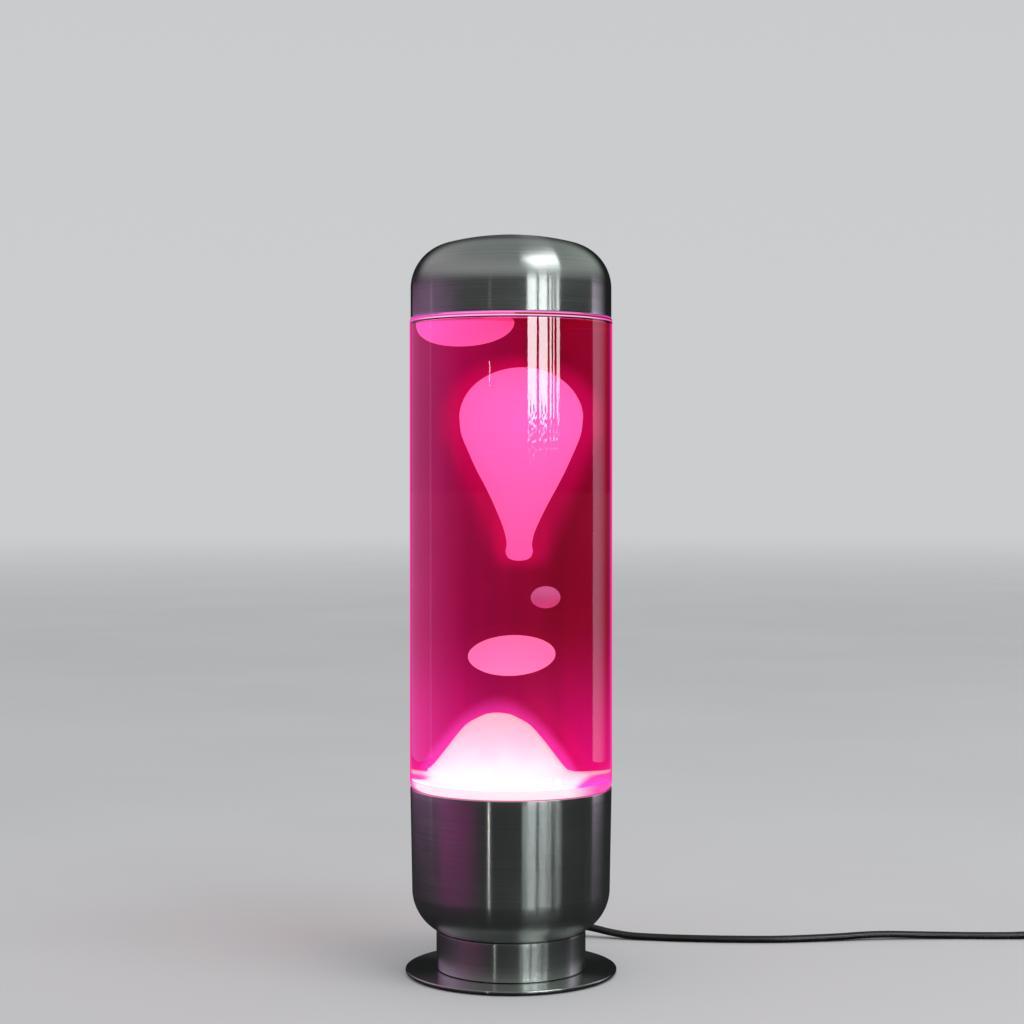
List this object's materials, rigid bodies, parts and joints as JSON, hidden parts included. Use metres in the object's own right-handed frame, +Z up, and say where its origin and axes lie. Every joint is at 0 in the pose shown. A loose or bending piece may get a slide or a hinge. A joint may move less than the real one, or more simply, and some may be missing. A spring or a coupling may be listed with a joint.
{
  "type": "lava lamp",
  "caption": "Lava lamp: a glass cylinder of pink liquid and drifting wax between a domed steel cap and a steel bowl, collar and disc foot, with a mains lead.",
  "frame": {"origin": "middle of the foot pad's underside, on the surface the lamp stands on", "axes": "+Z up the lamp's axis; -Y is the front; the lead leaves at the back, +Y, and runs off to +X"},
  "size_m": [0.5121, 0.1393, 0.3645],
  "materials": {
    "spun_steel": "brushed round the axis",
    "foot_rubber": "matte",
    "clear_glass": "polished",
    "dyed_liquid": "clear liquid",
    "pink_wax": "satin",
    "hot_wax": "satin",
    "plated_steel": "satin",
    "brass": "satin",
    "white_plastic": "matte",
    "black_plastic": "satin",
    "silicone": "matte",
    "bulb_glass": "frosted",
    "black_glass": "gloss",
    "tungsten": "satin",
    "cord_sheath": "satin",
    "live_sheath": "satin",
    "neutral_sheath": "satin"
  },
  "bodies": {
    "base": {"foot_pad": "foot_rubber", "foot_disc": "spun_steel", "collar": "spun_steel", "base_bowl": "spun_steel", "spacer_post_1": "plated_steel", "spacer_post_2": "plated_steel", "spacer_post_3": "plated_steel", "foot_screw_1": "plated_steel", "foot_screw_2": "plated_steel", "foot_screw_3": "plated_steel", "bowl_screw_1": "plated_steel", "bowl_screw_2": "plated_steel", "bowl_screw_3": "plated_steel", "holder_bracket": "plated_steel", "holder_nut": "white_plastic", "lampholder_body": "white_plastic", "lampholder_shell": "brass", "lampholder_contact": "brass", "seat_ring": "black_plastic", "seat_gasket": "silicone", "strain_relief": "black_plastic", "lead_live": "live_sheath", "lead_neutral": "neutral_sheath", "cord_to_switch": "cord_sheath", "cord_to_coil": "cord_sheath", "cord_coil": "cord_sheath", "cord_to_plug": "cord_sheath", "switch_bottom": "black_plastic", "switch_top": "black_plastic", "switch_pin": "plated_steel", "switch_screw_1": "plated_steel", "switch_screw_2": "plated_steel", "switch_contact_1": "brass", "switch_contact_2": "brass", "plug_body": "black_plastic", "plug_pin_1": "brass", "plug_pin_2": "brass"},
    "vessel": {"glass_vessel": "clear_glass", "vessel_stopper": "plated_steel", "stopper_liner": "silicone", "dyed_liquid": "dyed_liquid", "heat_ring": "plated_steel", "wax_mound": "hot_wax", "wax_pool": "pink_wax"},
    "cap": {"top_cap": "spun_steel", "cap_liner": "white_plastic"},
    "balloon": {"wax_balloon": "pink_wax"},
    "bead": {"wax_bead": "pink_wax"},
    "lens": {"wax_lens": "pink_wax"},
    "bulb_end": {"bulb_contact": "brass"},
    "bulb": {"bulb_cap": "plated_steel", "bulb_insulator": "black_glass", "bulb_envelope": "bulb_glass", "bulb_stem": "bulb_glass", "bulb_filament": "tungsten"},
    "rocker": {"switch_rocker": "black_plastic"}
  },
  "joints": [
    {"name": "vessel_lift", "type": "slide", "parent": "base", "child": "vessel", "axis": [0, 0, 1], "range_m": [0, 0.12]},
    {"name": "cap_lift", "type": "slide", "parent": "vessel", "child": "cap", "axis": [0, 0, 1], "range_m": [0, 0.06]},
    {"name": "balloon_drift", "type": "slide", "parent": "vessel", "child": "balloon", "axis": [0, 0, 1], "range_m": [-0.004, 0.006], "deforming": ["dyed_liquid"]},
    {"name": "bead_drift", "type": "slide", "parent": "vessel", "child": "bead", "axis": [0, 0, 1], "range_m": [-0.004, 0.006], "deforming": ["dyed_liquid"]},
    {"name": "lens_drift", "type": "slide", "parent": "vessel", "child": "lens", "axis": [0, 0, 1], "range_m": [-0.016, 0.006], "deforming": ["dyed_liquid"]},
    {"name": "bulb_rise", "type": "slide", "parent": "base", "child": "bulb_end", "axis": [0, 0, 1], "range_m": [0, 0.00564]},
    {"name": "bulb_turn", "type": "hinge", "parent": "bulb_end", "child": "bulb", "pos_m": [0, 0, 0.0187], "axis": [0, 0, 1], "range_deg": [0, 720]},
    {"name": "switch_rock", "type": "hinge", "parent": "base", "child": "rocker", "pos_m": [0.335, 0.075, 0.0138], "axis": [0, -1, 0], "range_deg": [0, 16]}
  ],
  "couplings": [
    {"joint": "bulb_rise", "follows": "bulb_turn", "m_per_rad": 0.00044882}
  ]
}
